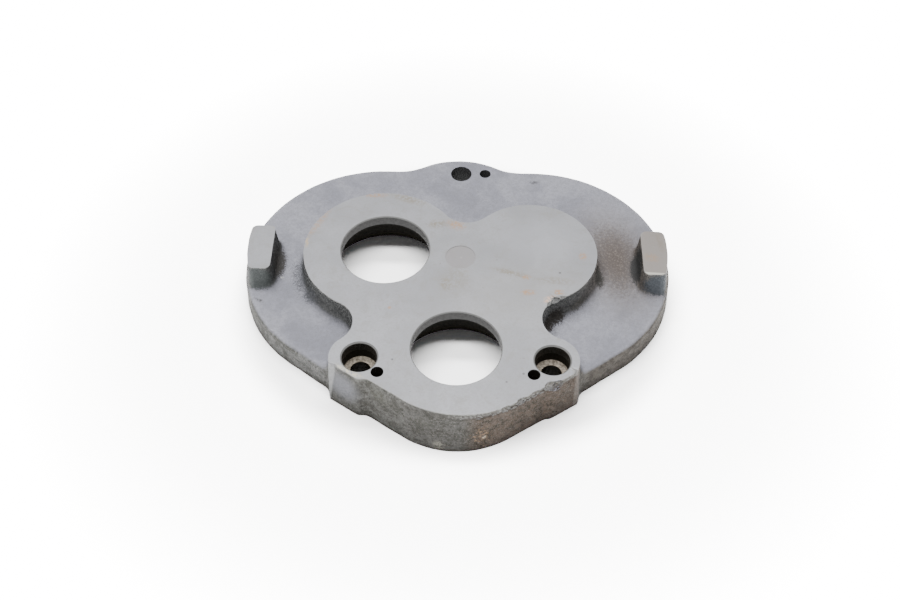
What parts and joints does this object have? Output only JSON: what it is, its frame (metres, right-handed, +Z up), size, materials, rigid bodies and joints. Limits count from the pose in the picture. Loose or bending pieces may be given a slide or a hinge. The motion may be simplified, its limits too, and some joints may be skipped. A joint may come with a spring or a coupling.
{
  "type": "cast housing cover",
  "caption": "Flat cast housing end cover with a lobed raised boss, machined bearing bores, counterbored ear screw holes, dowel holes and raised rim lugs.",
  "frame": {"origin": "middle of the casting's base rectangle, on the joint face", "axes": "+X along the two ear screws, to the right; +Y towards the single back screw; +Z up, out of the machined top"},
  "size_m": [0.1438, 0.1209, 0.018],
  "materials": {
    "casting": "machined satin top with as-cast matt sides"
  },
  "bodies": {
    "root": {"end_cover": "casting"}
  },
  "joints": []
}
